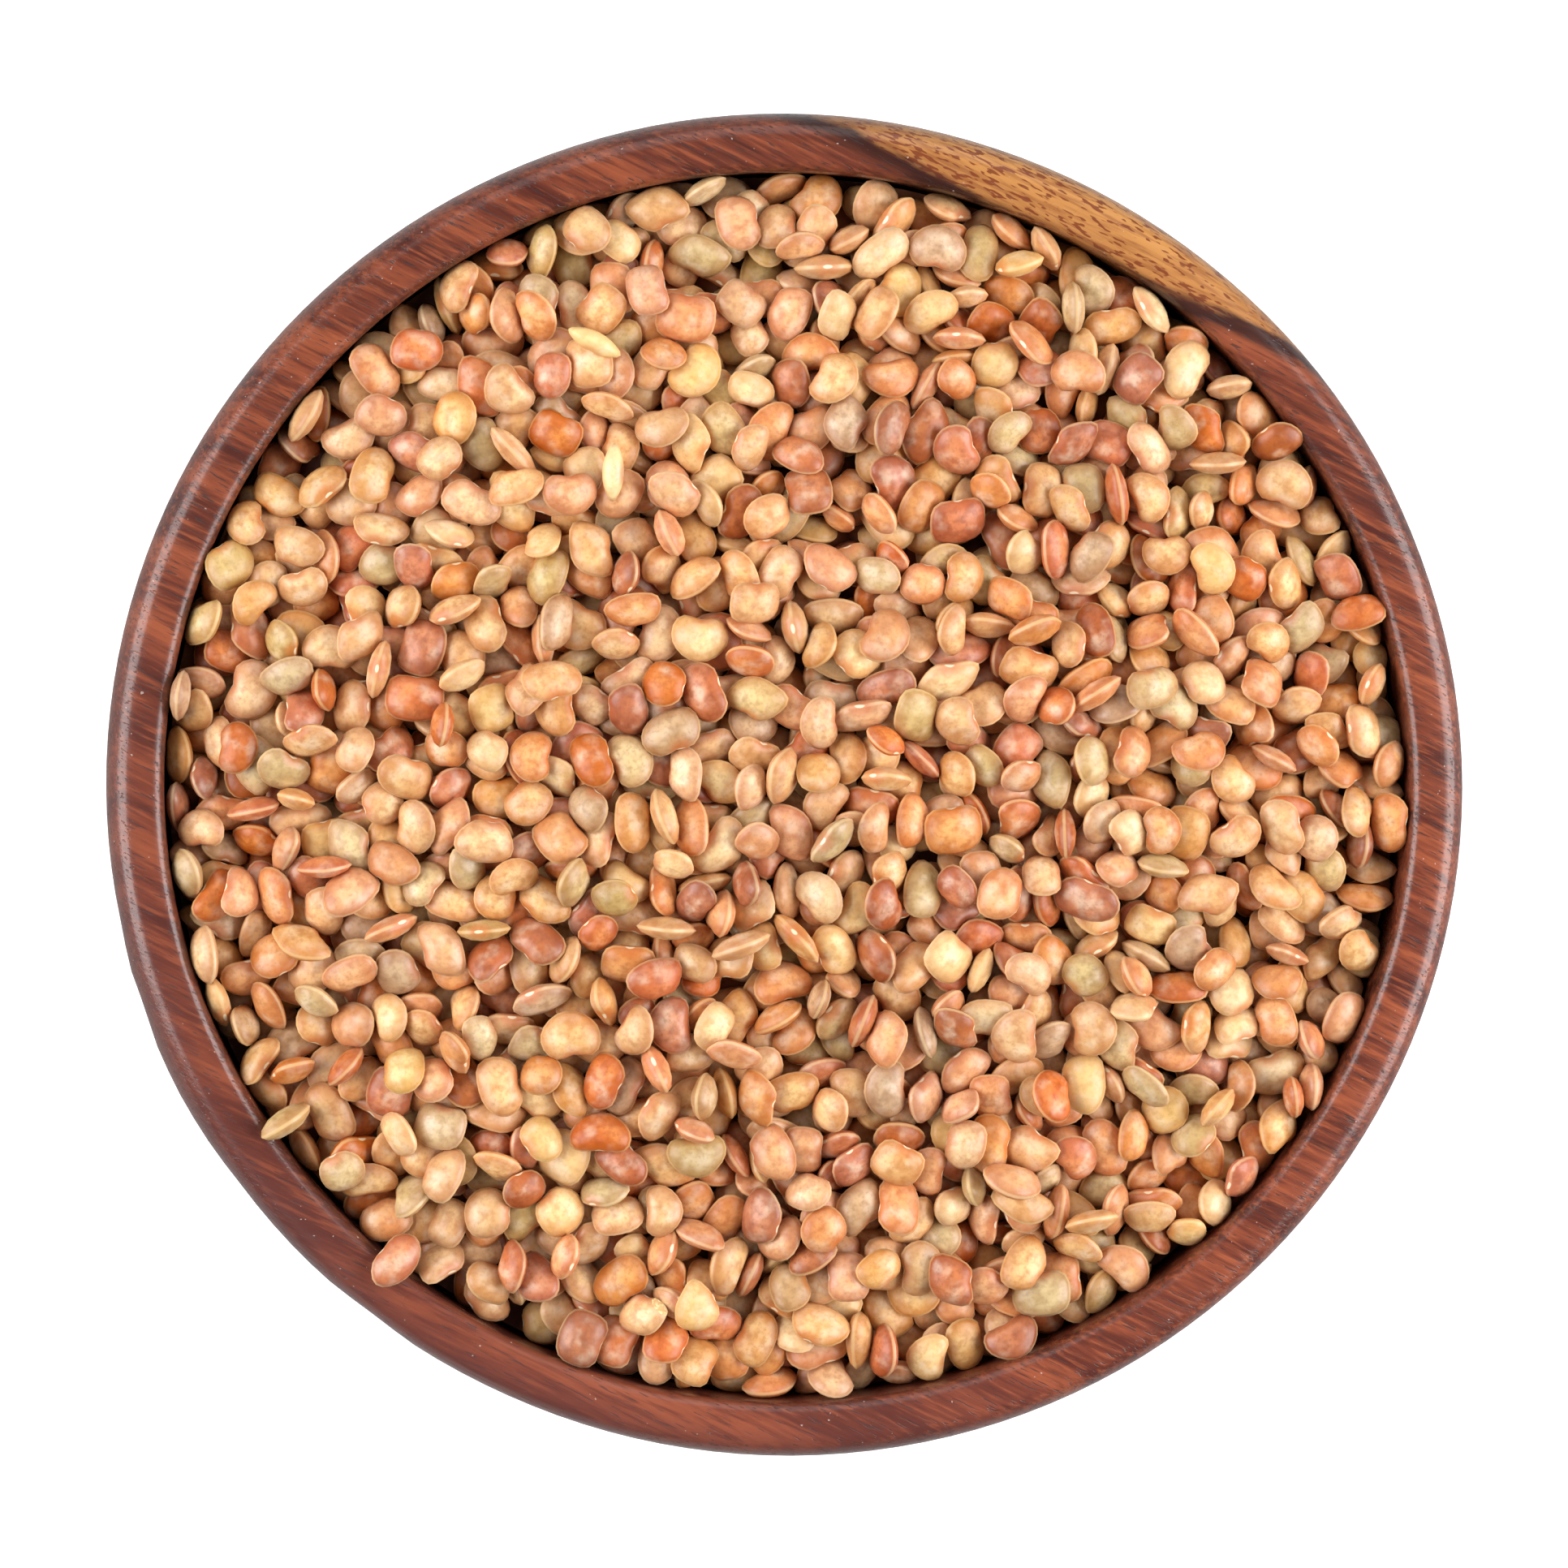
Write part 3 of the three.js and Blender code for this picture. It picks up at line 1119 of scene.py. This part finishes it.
class SeedCoat(Effect):
    """The mottled coat of a seed, with its fleck, painted margin shade, keel, hilum and halo, a dusty bloom
    with painted sheen, and its flesh.
    """

    BLOOM_AND_SHEEN = srgb(232, 208, 182)
    KEEL = srgb(244, 206, 154)
    HALO = srgb(196, 96, 48)
    HILUM = srgb(240, 222, 190)
    FLESH = (srgb(248, 226, 176), srgb(226, 184, 120))

    def __init__(self) -> None:
        """Build the group from the marks and the random draw that each seed carries."""
        marks = {"Place": "Vector", "Draw": "Vector", "Rim": "Float", "Cut": "Float"}
        colours = {"Light": "Color", "Dark": "Color", "Mottle": "Color", "Margin": "Color"}
        results = {"Color": "Color", "Roughness": "Float", "Height": "Float"}
        super().__init__("seed_coat", {**marks, **colours, "Mottling": "Float"}, results)
        sheet, given = self.sheet, self.given
        shift = sheet.vector("MULTIPLY", given["Draw"], (37.0, 53.0, 71.0))
        place = sheet.vector("ADD", given["Place"], shift)
        draw = sheet.node("ShaderNodeSeparateXYZ", {0: given["Draw"]}).outputs
        broad = sheet.noise(place, 0.34, 2.0)
        mottle = sheet.noise(place, 1.1, 3.0)
        bloom_and_sheen = sheet.noise(sheet.vector("ADD", place, (9.0, 4.0, 2.0)), 0.55, 2.0)
        fleck = sheet.noise(place, 2.8, 3.0)
        lean = sheet.math("MULTIPLY_ADD", draw[0], 0.7, -0.35)
        share = sheet.math("ADD", sheet.step(broad, 0.34, 0.66), lean, clamp=True)
        colour = sheet.mix(share, given["Light"], given["Dark"])
        patch = sheet.math("MULTIPLY", sheet.step(mottle, 0.4, 0.72), given["Mottling"])
        colour = sheet.mix(patch, colour, given["Mottle"])
        # Pale dusty bloom, which is also a painted sheen: whitish patches that stand in for soft
        # highlights.
        colour = sheet.mix(sheet.step(bloom_and_sheen, 0.46, 0.74, 0.0, 0.5), colour, self.BLOOM_AND_SHEEN)
        colour = sheet.mix(sheet.step(fleck, 0.46, 0.76, 0.0, 0.4), colour, given["Mottle"])
        # Painted shade: the coat darkens towards its outline, where the rounded margin turns from the
        # light.
        colour = sheet.mix(sheet.step(given["Rim"], 0.4, 0.95, 0.0, 0.55), colour, given["Margin"])
        colour = sheet.mix(sheet.step(given["Rim"], 0.93, 0.98, 0.0, 0.4), colour, self.KEEL)
        colour = self._hilum(colour)
        colour = sheet.mix(given["Cut"], colour, sheet.mix(sheet.step(fleck, 0.4, 0.6), *self.FLESH))
        value = sheet.math("MULTIPLY_ADD", draw[1], 0.16, 0.94)
        strength = sheet.math("MULTIPLY_ADD", draw[2], 0.14, 0.91)
        hue = sheet.math("MULTIPLY_ADD", draw[0], 0.01, 0.501)
        shades = {"Hue": hue, "Value": value, "Saturation": strength, "Color": colour}
        shaded = sheet.node("ShaderNodeHueSaturation", shades)
        sheet.feed(self.result["Color"], shaded.outputs[0])
        rough = sheet.math("MULTIPLY_ADD", draw[2], 0.1, 0.22)
        sheet.feed(self.result["Roughness"], sheet.math("MULTIPLY_ADD", mottle, 0.26, rough))
        sheet.feed(self.result["Height"], sheet.math("MULTIPLY_ADD", fleck, 0.35, mottle))

    def _hilum(self, colour: Socket) -> Socket:
        """Lay the pale hilum and the orange halo round it over the coat.

        Args:
            colour: The coat's colour.

        Returns:
            The colour.
        """
        sheet, given = self.sheet, self.given
        near = sheet.vector("LENGTH", given["Place"])
        spot = sheet.vector("LENGTH", sheet.vector("MULTIPLY", given["Place"], (2.2, 1.2, 5.5)))
        colour = sheet.mix(sheet.step(near, 1.5, 0.5, 0.0, 0.5), colour, self.HALO)
        return sheet.mix(sheet.step(spot, 1.1, 0.75, 0.0, 0.9), colour, self.HILUM)


@dataclass(frozen=True)
class SeedFinish:
    """The colours of one kind of seed, and its share of the heap."""

    kind: SeedKind
    share: float
    light: Colour
    dark: Colour
    mottle: Colour
    # margin: the colour of the painted shade towards the outline.
    margin: Colour
    mottling: float = 0.6
    shine: float = 0.5

    def make(self, coat: SeedCoat) -> bpy.types.Material:
        """Build the kind's material.

        Args:
            coat: The group that paints a seed's coat.

        Returns:
            The material.
        """
        material, sheet, shader = new_material(f"seed_coat_{self.kind.value}")
        marks = {
            "Place": sheet.attribute("seed_place", "Vector"),
            "Draw": sheet.attribute("seed_draw", "Vector"),
            "Rim": sheet.attribute("seed_rim"),
            "Cut": sheet.attribute("seed_cut"),
            "Light": self.light,
            "Dark": self.dark,
            "Mottle": self.mottle,
            "Margin": self.margin,
            "Mottling": self.mottling,
        }
        painted = coat.use(sheet, marks)
        relief = {"Strength": 0.3, "Distance": 0.0001, "Height": painted["Height"]}
        sheet.feed(shader.inputs["Base Color"], painted["Color"])
        sheet.feed(shader.inputs["Roughness"], painted["Roughness"])
        sheet.feed(shader.inputs["Normal"], sheet.node("ShaderNodeBump", relief).outputs[0])
        shader.inputs["Specular IOR Level"].default_value = self.shine
        return material


# Each kind: its share, then its light, dark and mottle colours, and the colour of its painted margin shade.
SEED_COLOURS = {
    SeedKind.TAN: (36, (236, 192, 138), (212, 152, 98), (178, 108, 56), (180, 102, 52)),
    SeedKind.PEACH: (23, (234, 170, 116), (212, 134, 82), (176, 92, 48), (174, 86, 42)),
    SeedKind.CREAM: (10, (240, 208, 156), (228, 180, 122), (194, 138, 82), (196, 130, 74)),
    SeedKind.ORANGE: (10, (220, 134, 82), (198, 98, 52), (160, 66, 30), (160, 62, 28)),
    SeedKind.RUSSET: (8, (202, 120, 80), (172, 86, 50), (134, 56, 30), (134, 54, 28)),
    SeedKind.OLIVE: (9, (216, 186, 134), (192, 156, 104), (156, 114, 68), (166, 108, 58)),
    SeedKind.GREY: (4, (208, 170, 132), (184, 140, 102), (146, 102, 66), (156, 94, 54)),
    SeedKind.PALE: (0, (250, 222, 174), (242, 204, 150), (220, 172, 116), (232, 190, 132)),
}
SEED_FINISHES = tuple(
    SeedFinish(kind, share, *(srgb(*colour) for colour in colours))
    for kind, (share, *colours) in SEED_COLOURS.items()
)


@dataclass
class GramCore:
    """The body of the heap under its loose seeds: it fills the bowl up to a smooth, domed bed."""

    bowl: BowlSizes
    heap: HeapSizes
    sides: int = 96
    hollow_steps: int = 12
    seeds_a_metre: float = 260.0
    seed_depth: float = 0.001

    def build(self) -> bpy.types.Object:
        """Loft the core up the hollow and in over the bed.

        Returns:
            The core.
        """
        hollow = self.bowl.hollow(self.heap.gap, self.hollow_steps)[:-1]
        bed = self.heap.bed(self.bowl, self.bowl.inner_radius - self.heap.gap)
        metres = [(radius * MM, height * MM) for radius, height in (*hollow, *bed)]
        core = Workbench.ring("gram_core", self.sides, *metres[0])
        Workbench.loft(metres)
        Workbench.close()
        Workbench.pick_opening(core)
        Workbench.close()
        core.data.transform(self.bowl.oval())
        return core

    def dress(self, core: bpy.types.Object) -> None:
        """Colour the core as seeds in deep shade, and stand it in for the CAD heap.

        Args:
            core: The core.
        """
        material, sheet, shader = new_material("shaded_gram")
        place = sheet.node("ShaderNodeTexCoord").outputs["Object"]
        cells = sheet.node("ShaderNodeTexVoronoi", {"Vector": place, "Scale": self.seeds_a_metre})
        away = cells.outputs["Distance"]
        shade = sheet.mix(sheet.step(away, 0.2, 0.6), srgb(168, 104, 66), srgb(84, 44, 28))
        height = sheet.math("MULTIPLY", away, -1.0)
        relief = {"Strength": 1.0, "Distance": self.seed_depth, "Height": height}
        sheet.feed(shader.inputs["Base Color"], shade)
        sheet.feed(shader.inputs["Normal"], sheet.node("ShaderNodeBump", relief).outputs[0])
        shader.inputs["Roughness"].default_value = 0.8
        core.data.materials.append(material)
        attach(core, "root")
        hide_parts("horse_gram")


@dataclass(frozen=True)
class Fall:
    """How the seeds fall and settle. Lengths are in centimetres, as the scene is while they do.

    Attributes:
        spacing: The distance between the seeds of a layer.
        rows: How many rows a layer has on each side of the axis.
        wall_margin: How far the seeds' middles start from the wall.
        lowest: How high over the bed the first layer starts.
        rise: The distance between layers.
        tilt: How unevenly the seeds are tipped, in radians.
        spread: How unevenly they are sized, and then each of their sides.
        limits: The least and most that a side is scaled by.
        guest_height: How high the seeds that stand out start, in millimetres.
        aside: How far off those wait that are laid down later.
        near: How near a seed lies that a laid one may touch.
        sink: How far a laid seed sinks in.
        frames: How many frames they settle for.
        spare_frames: How many frames more the simulation has room for.
        substeps: How many steps the simulation takes in a frame.
        iterations: How many times it solves each step.
        body: What all the bodies are like.
    """

    spacing: float = 0.6
    rows: int = 10
    wall_margin: float = 0.28
    lowest: float = 0.25
    rise: float = 0.34
    tilt: float = 0.62
    spread: tuple[float, float] = (0.055, 0.03)
    limits: tuple[float, float] = (0.88, 1.13)
    guest_height: float = 78.0
    aside: float = 30.0
    near: float = 1.0
    sink: float = 0.03
    frames: int = 26
    spare_frames: int = 5
    substeps: int = 6
    iterations: int = 10
    body: tuple[tuple[str, object], ...] = (
        ("use_margin", True),
        ("collision_margin", 0.0),
        ("friction", 0.65),
        ("collision_shape", "CONVEX_HULL"),
        ("linear_damping", 0.1),
        ("angular_damping", 0.3),
    )


class LooseSeeds:
    """The seeds that show: dropped onto the bed, settled, and joined by colour."""

    TROUGH_SIDES = 64
    BREAK_WAY = (1.0, 0.3, 0.35)
    ABOVE = Vector((0.0, 0.0, 20.0))
    DOWN = Vector((0.0, 0.0, -1.0))

    def __init__(self, bowl: BowlSizes, heap: HeapSizes, fall: Fall) -> None:
        """Hold the sizes and start the random draws.

        Args:
            bowl: The bowl's sizes.
            heap: The heap's sizes.
            fall: How the seeds fall.
        """
        self.bowl = bowl
        self.heap = heap
        self.fall = fall
        self.random = np.random.default_rng(heap.random_seed)

    def build(self) -> dict[SeedKind, bpy.types.Object]:
        """Drop, settle and join the seeds.

        Returns:
            The joined seeds of each kind.
        """
        forms = [form.build() for form in SEED_FORMS]
        odd = [form.build() for form in ODD_FORMS]
        seeds = self._drop(forms)
        seeds += self._invite({form.name: form for form in (*forms, *odd)})
        self._place(seeds, self._settle(seeds))
        for form in (*forms, *odd):
            bpy.data.objects.remove(form)
        return self._join(seeds)

    def _drop(self, forms: Sequence[bpy.types.Object]) -> list[bpy.types.Object]:
        """Copy the forms into layers over the bed.

        Args:
            forms: The seed forms.

        Returns:
            The seeds.
        """
        fall, seeds = self.fall, []
        height = fall.lowest
        reach = self.bowl.inner_radius * MM_TO_CM - fall.wall_margin
        while len(seeds) < self.heap.seeds:
            shift = self.random.random(2) * fall.spacing
            for column in range(-fall.rows, fall.rows + 1):
                for row in range(-fall.rows, fall.rows + 1):
                    spot = (column * fall.spacing + shift[0], row * fall.spacing + shift[1])
                    distance = math.hypot(*spot)
                    if distance > reach or len(seeds) >= self.heap.seeds:
                        continue
                    top = self.heap.top(distance * CM_TO_MM, self.bowl)
                    bed = (top - self.heap.bed_depth) * MM_TO_CM
                    seeds.append(self._toss(forms, Vector((*spot, bed + height))))
            height += fall.rise
        return seeds

    def _toss(self, forms: Sequence[bpy.types.Object], spot: Vector) -> bpy.types.Object:
        """Copy a form drawn at random, turned and sized at random.

        Args:
            forms: The seed forms.
            spot: Where the copy starts.

        Returns:
            The copy.
        """
        seed = self._copy(forms[self.random.integers(len(forms))])
        turn = Quaternion((0, 0, 1), self.random.random() * math.tau)
        tilt = Quaternion((1, 0, 0), self.random.normal(0, self.fall.tilt))
        spin = Quaternion((0, 0, 1), self.random.random() * math.tau)
        size = self.random.normal(1.0, self.fall.spread[0])
        sides = self.random.normal(size, self.fall.spread[1], 3)
        seed.rotation_quaternion = turn @ tilt @ spin
        seed.scale = Vector(np.clip(sides, *self.fall.limits))
        seed.location = spot
        return seed

    @staticmethod
    def _copy(form: bpy.types.Object) -> bpy.types.Object:
        """Copy a form, with a mesh of its own.

        Args:
            form: The seed form.

        Returns:
            The copy, which turns by its quaternion.
        """
        seed = form.copy()
        seed.data = form.data.copy()
        seed.rotation_mode = "QUATERNION"
        bpy.context.scene.collection.objects.link(seed)
        return seed

    def _invite(self, forms: dict[str, bpy.types.Object]) -> list[bpy.types.Object]:
        """Copy the forms of the seeds that stand out, over all the others or off to the side.

        Args:
            forms: The forms by the names of their objects.

        Returns:
            The seeds, in the order of the guests.
        """
        seeds = []
        for guest in GUESTS:
            seed = self._copy(forms[f"form_{guest.form}"])
            seed.rotation_quaternion = Quaternion((0, 0, 1), math.radians(guest.turn))
            seed.location = Vector((*guest.at, self.fall.guest_height)) * MM_TO_CM
            if guest.lean is not None:
                seed.location.x -= self.fall.aside
            seeds.append(seed)
        return seeds

    def _trough(self) -> bpy.types.Object:
        """Model what the seeds fall on: the rim, the wall and the bed.

        Returns:
            The trough.
        """
        bowl = self.bowl
        profile = [
            (bowl.radius, bowl.belly_height),
            (bowl.flat_outer, bowl.height),
            (bowl.inner_radius + bowl.inner_round, bowl.height),
            (bowl.inner_radius, bowl.height - bowl.inner_round),
            *self.heap.bed(bowl, bowl.inner_radius),
        ]
        centimetres = [(radius * MM_TO_CM, height * MM_TO_CM) for radius, height in profile]
        trough = Workbench.ring("trough", self.TROUGH_SIDES, *centimetres[0])
        Workbench.loft(centimetres)
        Workbench.close()
        Workbench.order(trough)
        return trough

    def _settle(self, seeds: Sequence[bpy.types.Object]) -> list[Matrix]:
        """Let the seeds fall and settle.

        Args:
            seeds: The seeds over the bed.

        Returns:
            Where each lies.
        """
        scene, fall = bpy.context.scene, self.fall
        trough = self._trough()
        bpy.ops.rigidbody.world_add()
        world = scene.rigidbody_world
        world.substeps_per_frame = fall.substeps
        world.solver_iterations = fall.iterations
        world.collection = bpy.data.collections.new("settling")
        for body in (trough, *seeds):
            world.collection.objects.link(body)
            for name, value in fall.body:
                setattr(body.rigid_body, name, value)
        trough.rigid_body.type = "PASSIVE"
        trough.rigid_body.collision_shape = "MESH"
        world.point_cache.frame_end = fall.frames + fall.spare_frames
        for frame_number in range(1, fall.frames + 1):
            scene.frame_set(frame_number)
        places = [seed.matrix_world.copy() for seed in seeds]
        bpy.ops.rigidbody.world_remove()
        scene.frame_set(1)
        bpy.data.objects.remove(trough)
        return places

    def _place(self, seeds: Sequence[bpy.types.Object], places: Sequence[Matrix]) -> None:
        """Put each seed's place into its mesh, in metres, with its random draw.

        Args:
            seeds: The seeds.
            places: Where each lies, in centimetres.
        """
        metres = self.bowl.oval() @ Matrix.Scale(CM, 4)
        places = list(places)
        for index, guest in enumerate(GUESTS, len(seeds) - len(GUESTS)):
            if guest.lean is not None:
                places[index] = guest.pose() if guest.height else self._lay(index, guest, seeds, places)
            if guest.broken < 1:
                self._break(seeds[index], guest.broken)
        for seed, place in zip(seeds, places):
            seed.data.transform(metres @ place)
            seed.matrix_world = Matrix()
            draw = np.tile(self.random.random(3), len(seed.data.vertices))
            seed.data.attributes.new("seed_draw", "FLOAT_VECTOR", "POINT").data.foreach_set("vector", draw)

    def _lay(
        self, index: int, guest: Guest, seeds: Sequence[bpy.types.Object], places: Sequence[Matrix]
    ) -> Matrix:
        """Let a seed down onto the settled ones, turned as it is, until it touches.

        Args:
            index: Its place among the seeds.
            guest: What it is.
            seeds: All the seeds.
            places: Where each lies, in centimetres.

        Returns:
            Where it comes to lie.
        """
        pose = guest.pose()
        corners: list[Vector] = []
        faces: list[list[int]] = []
        for seed, place in zip(seeds, places):
            away = (place.translation - pose.translation).xy.length
            if seed is not seeds[index] and away < self.fall.near:
                first = len(corners)
                faces += [[first + corner for corner in face.vertices] for face in seed.data.polygons]
                corners += [place @ vertex.co for vertex in seed.data.vertices]
        tree = BVHTree.FromPolygons(corners, faces)
        gaps = []
        for vertex in seeds[index].data.vertices:
            corner = pose @ vertex.co
            hit = tree.ray_cast(corner + self.ABOVE, self.DOWN)[0]
            if hit:
                gaps.append(corner.z - hit.z)
        drop = min(gaps, default=0.0) + self.fall.sink
        return Matrix.Translation((0.0, 0.0, -drop)) @ pose

    @staticmethod
    def _break(seed: bpy.types.Object, share: float) -> None:
        """Break off one end of a seed, and mark the broken face.

        Args:
            seed: The seed.
            share: Where along its half length it is broken.
        """
        reach = max(vertex.co.x for vertex in seed.data.vertices)
        Workbench.hold(seed)
        bpy.ops.object.mode_set(mode="EDIT")
        bpy.ops.mesh.select_all(action="SELECT")
        cut_at = (reach * share, 0.0, 0.0)
        way = LooseSeeds.BREAK_WAY
        bpy.ops.mesh.bisect(plane_co=cut_at, plane_no=way, use_fill=True, clear_outer=True)
        bpy.ops.object.mode_set(mode="OBJECT")
        cut = [float(face.select) for face in seed.data.polygons]
        seed.data.attributes.new("seed_cut", "FLOAT", "FACE").data.foreach_set("value", cut)
        for face in seed.data.polygons:
            face.use_smooth = not face.select

    def _join(self, seeds: Sequence[bpy.types.Object]) -> dict[SeedKind, bpy.types.Object]:
        """Share the seeds out among the kinds, and join each kind.

        Args:
            seeds: The seeds in their places.

        Returns:
            The joined seeds of each kind.
        """
        shares = np.array([finish.share for finish in SEED_FINISHES])
        kinds = [finish.kind for finish in SEED_FINISHES]
        drawn = self.random.choice(len(kinds), size=len(seeds) - len(GUESTS), p=shares / shares.sum())
        named = [*(kinds[index] for index in drawn), *(guest.kind for guest in GUESTS)]
        joined = {}
        for finish in SEED_FINISHES:
            chosen = [seed for seed, kind in zip(seeds, named) if kind is finish.kind]
            Workbench.hold(chosen[0])
            for seed in chosen:
                seed.select_set(True)
            bpy.ops.object.join()
            chosen[0].name = chosen[0].data.name = f"seeds_{finish.kind.value}"
            joined[finish.kind] = chosen[0]
        return joined

    def dress(self, joined: dict[SeedKind, bpy.types.Object]) -> None:
        """Give each kind its coat.

        Args:
            joined: The joined seeds of each kind.
        """
        coat = SeedCoat()
        for finish in SEED_FINISHES:
            piece = joined[finish.kind]
            piece.data.materials.clear()
            piece.data.materials.append(finish.make(coat))
            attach(piece, "root")


# ---- The studio ----


@dataclass(frozen=True)
class Studio:
    """The pale floor, the soft light and the camera over the bowl."""

    target: Vector = Vector((-0.0004, 0.00034, 0.0438))
    lean: Place = (-0.0813, 0.0559)
    distance: float = 0.72
    lens: float = 175.85
    sensor_width: float = 36.0
    clip_start: float = 0.01
    sky: float = 0.17
    floor_side: float = 4.0
    floor_colour: Colour = (0.4, 0.4, 0.4, 1.0)
    softbox_side: float = 0.8
    softboxes: tuple[tuple[str, Direction, float], ...] = (
        ("left", (-0.78, 0.04, 0.5), 12.6),
        ("right", (0.78, -0.04, 0.5), 14.0),
        ("far", (0.0, 0.8, 0.55), 2.8),
    )

    def build(self) -> None:
        """Set up the floor, the lights, the camera and the way that colours are shown."""
        scene = bpy.context.scene
        scene.view_settings.view_transform = "Standard"
        self._floor()
        self._sky()
        for name, place, power in self.softboxes:
            self._softbox(name, Vector(place), power)
        scene.camera = self._camera()

    def _floor(self) -> None:
        """Lay a plain pale floor that is bright to the camera and grey to the bowl."""
        Workbench.clear()
        bpy.ops.mesh.primitive_plane_add(size=self.floor_side)
        floor = bpy.context.object
        floor.name = "floor"
        material, sheet, shader = new_material("pale_floor")
        seen = sheet.node("ShaderNodeLightPath").outputs["Is Camera Ray"]
        sheet.feed(shader.inputs["Emission Strength"], seen)
        shader.inputs["Base Color"].default_value = self.floor_colour
        shader.inputs["Roughness"].default_value = 0.9
        shader.inputs["Emission Color"].default_value = WHITE
        floor.data.materials.append(material)

    def _sky(self) -> None:
        """Fill the room with even white light."""
        world = bpy.data.worlds.new("studio")
        bpy.context.scene.world = world
        world.use_nodes = True
        background = world.node_tree.nodes["Background"]
        background.inputs["Color"].default_value = WHITE
        background.inputs["Strength"].default_value = self.sky

    def _softbox(self, name: str, place: Vector, power: float) -> None:
        """Add a square area light that faces the bowl.

        Args:
            name: Its name.
            place: Where it stands, in metres.
            power: Its power in watts.
        """
        Workbench.clear()
        bpy.ops.object.light_add(type="AREA", location=place)
        light = bpy.context.object
        light.name = f"softbox_{name}"
        light.rotation_euler = (self.target - place).to_track_quat("-Z", "Y").to_euler()
        light.data.size = self.softbox_side
        light.data.energy = power
        light.visible_camera = False

    def _camera(self) -> bpy.types.Object:
        """Hang the camera over the bowl, leaning a little to the far left.

        Returns:
            The camera.
        """
        back = Vector((*self.lean, 1.0)).normalized()
        right = Vector((0.0, 1.0, 0.0)).cross(back).normalized()
        up = back.cross(right)
        place = self.target + back * self.distance
        bpy.ops.object.camera_add()
        camera = bpy.context.object
        camera.matrix_world = Matrix.Translation(place) @ Matrix((right, up, back)).transposed().to_4x4()
        camera.data.lens = self.lens
        camera.data.sensor_width = self.sensor_width
        camera.data.clip_start = self.clip_start
        return camera


def main() -> None:
    """Build the bowl, its heap of seeds and the studio."""
    logging.basicConfig(level=logging.INFO, format="%(name)s: %(message)s")
    bowl_sizes, heap_sizes = BowlSizes(), HeapSizes()
    turned = TurnedBowl(bowl_sizes, WoodFinish())
    bowl = turned.build()
    turned.dress(bowl)
    LOG.info("turned the bowl: %d faces", len(bowl.data.polygons))
    gram_core = GramCore(bowl_sizes, heap_sizes)
    core = gram_core.build()
    gram_core.dress(core)
    LOG.info("filled the bowl: %d faces", len(core.data.polygons))
    loose = LooseSeeds(bowl_sizes, heap_sizes, Fall())
    joined = loose.build()
    loose.dress(joined)
    for kind, piece in joined.items():
        LOG.info("settled the %s seeds: %d faces", kind.value, len(piece.data.polygons))
    Studio().build()


if __name__ == "__main__":
    main()
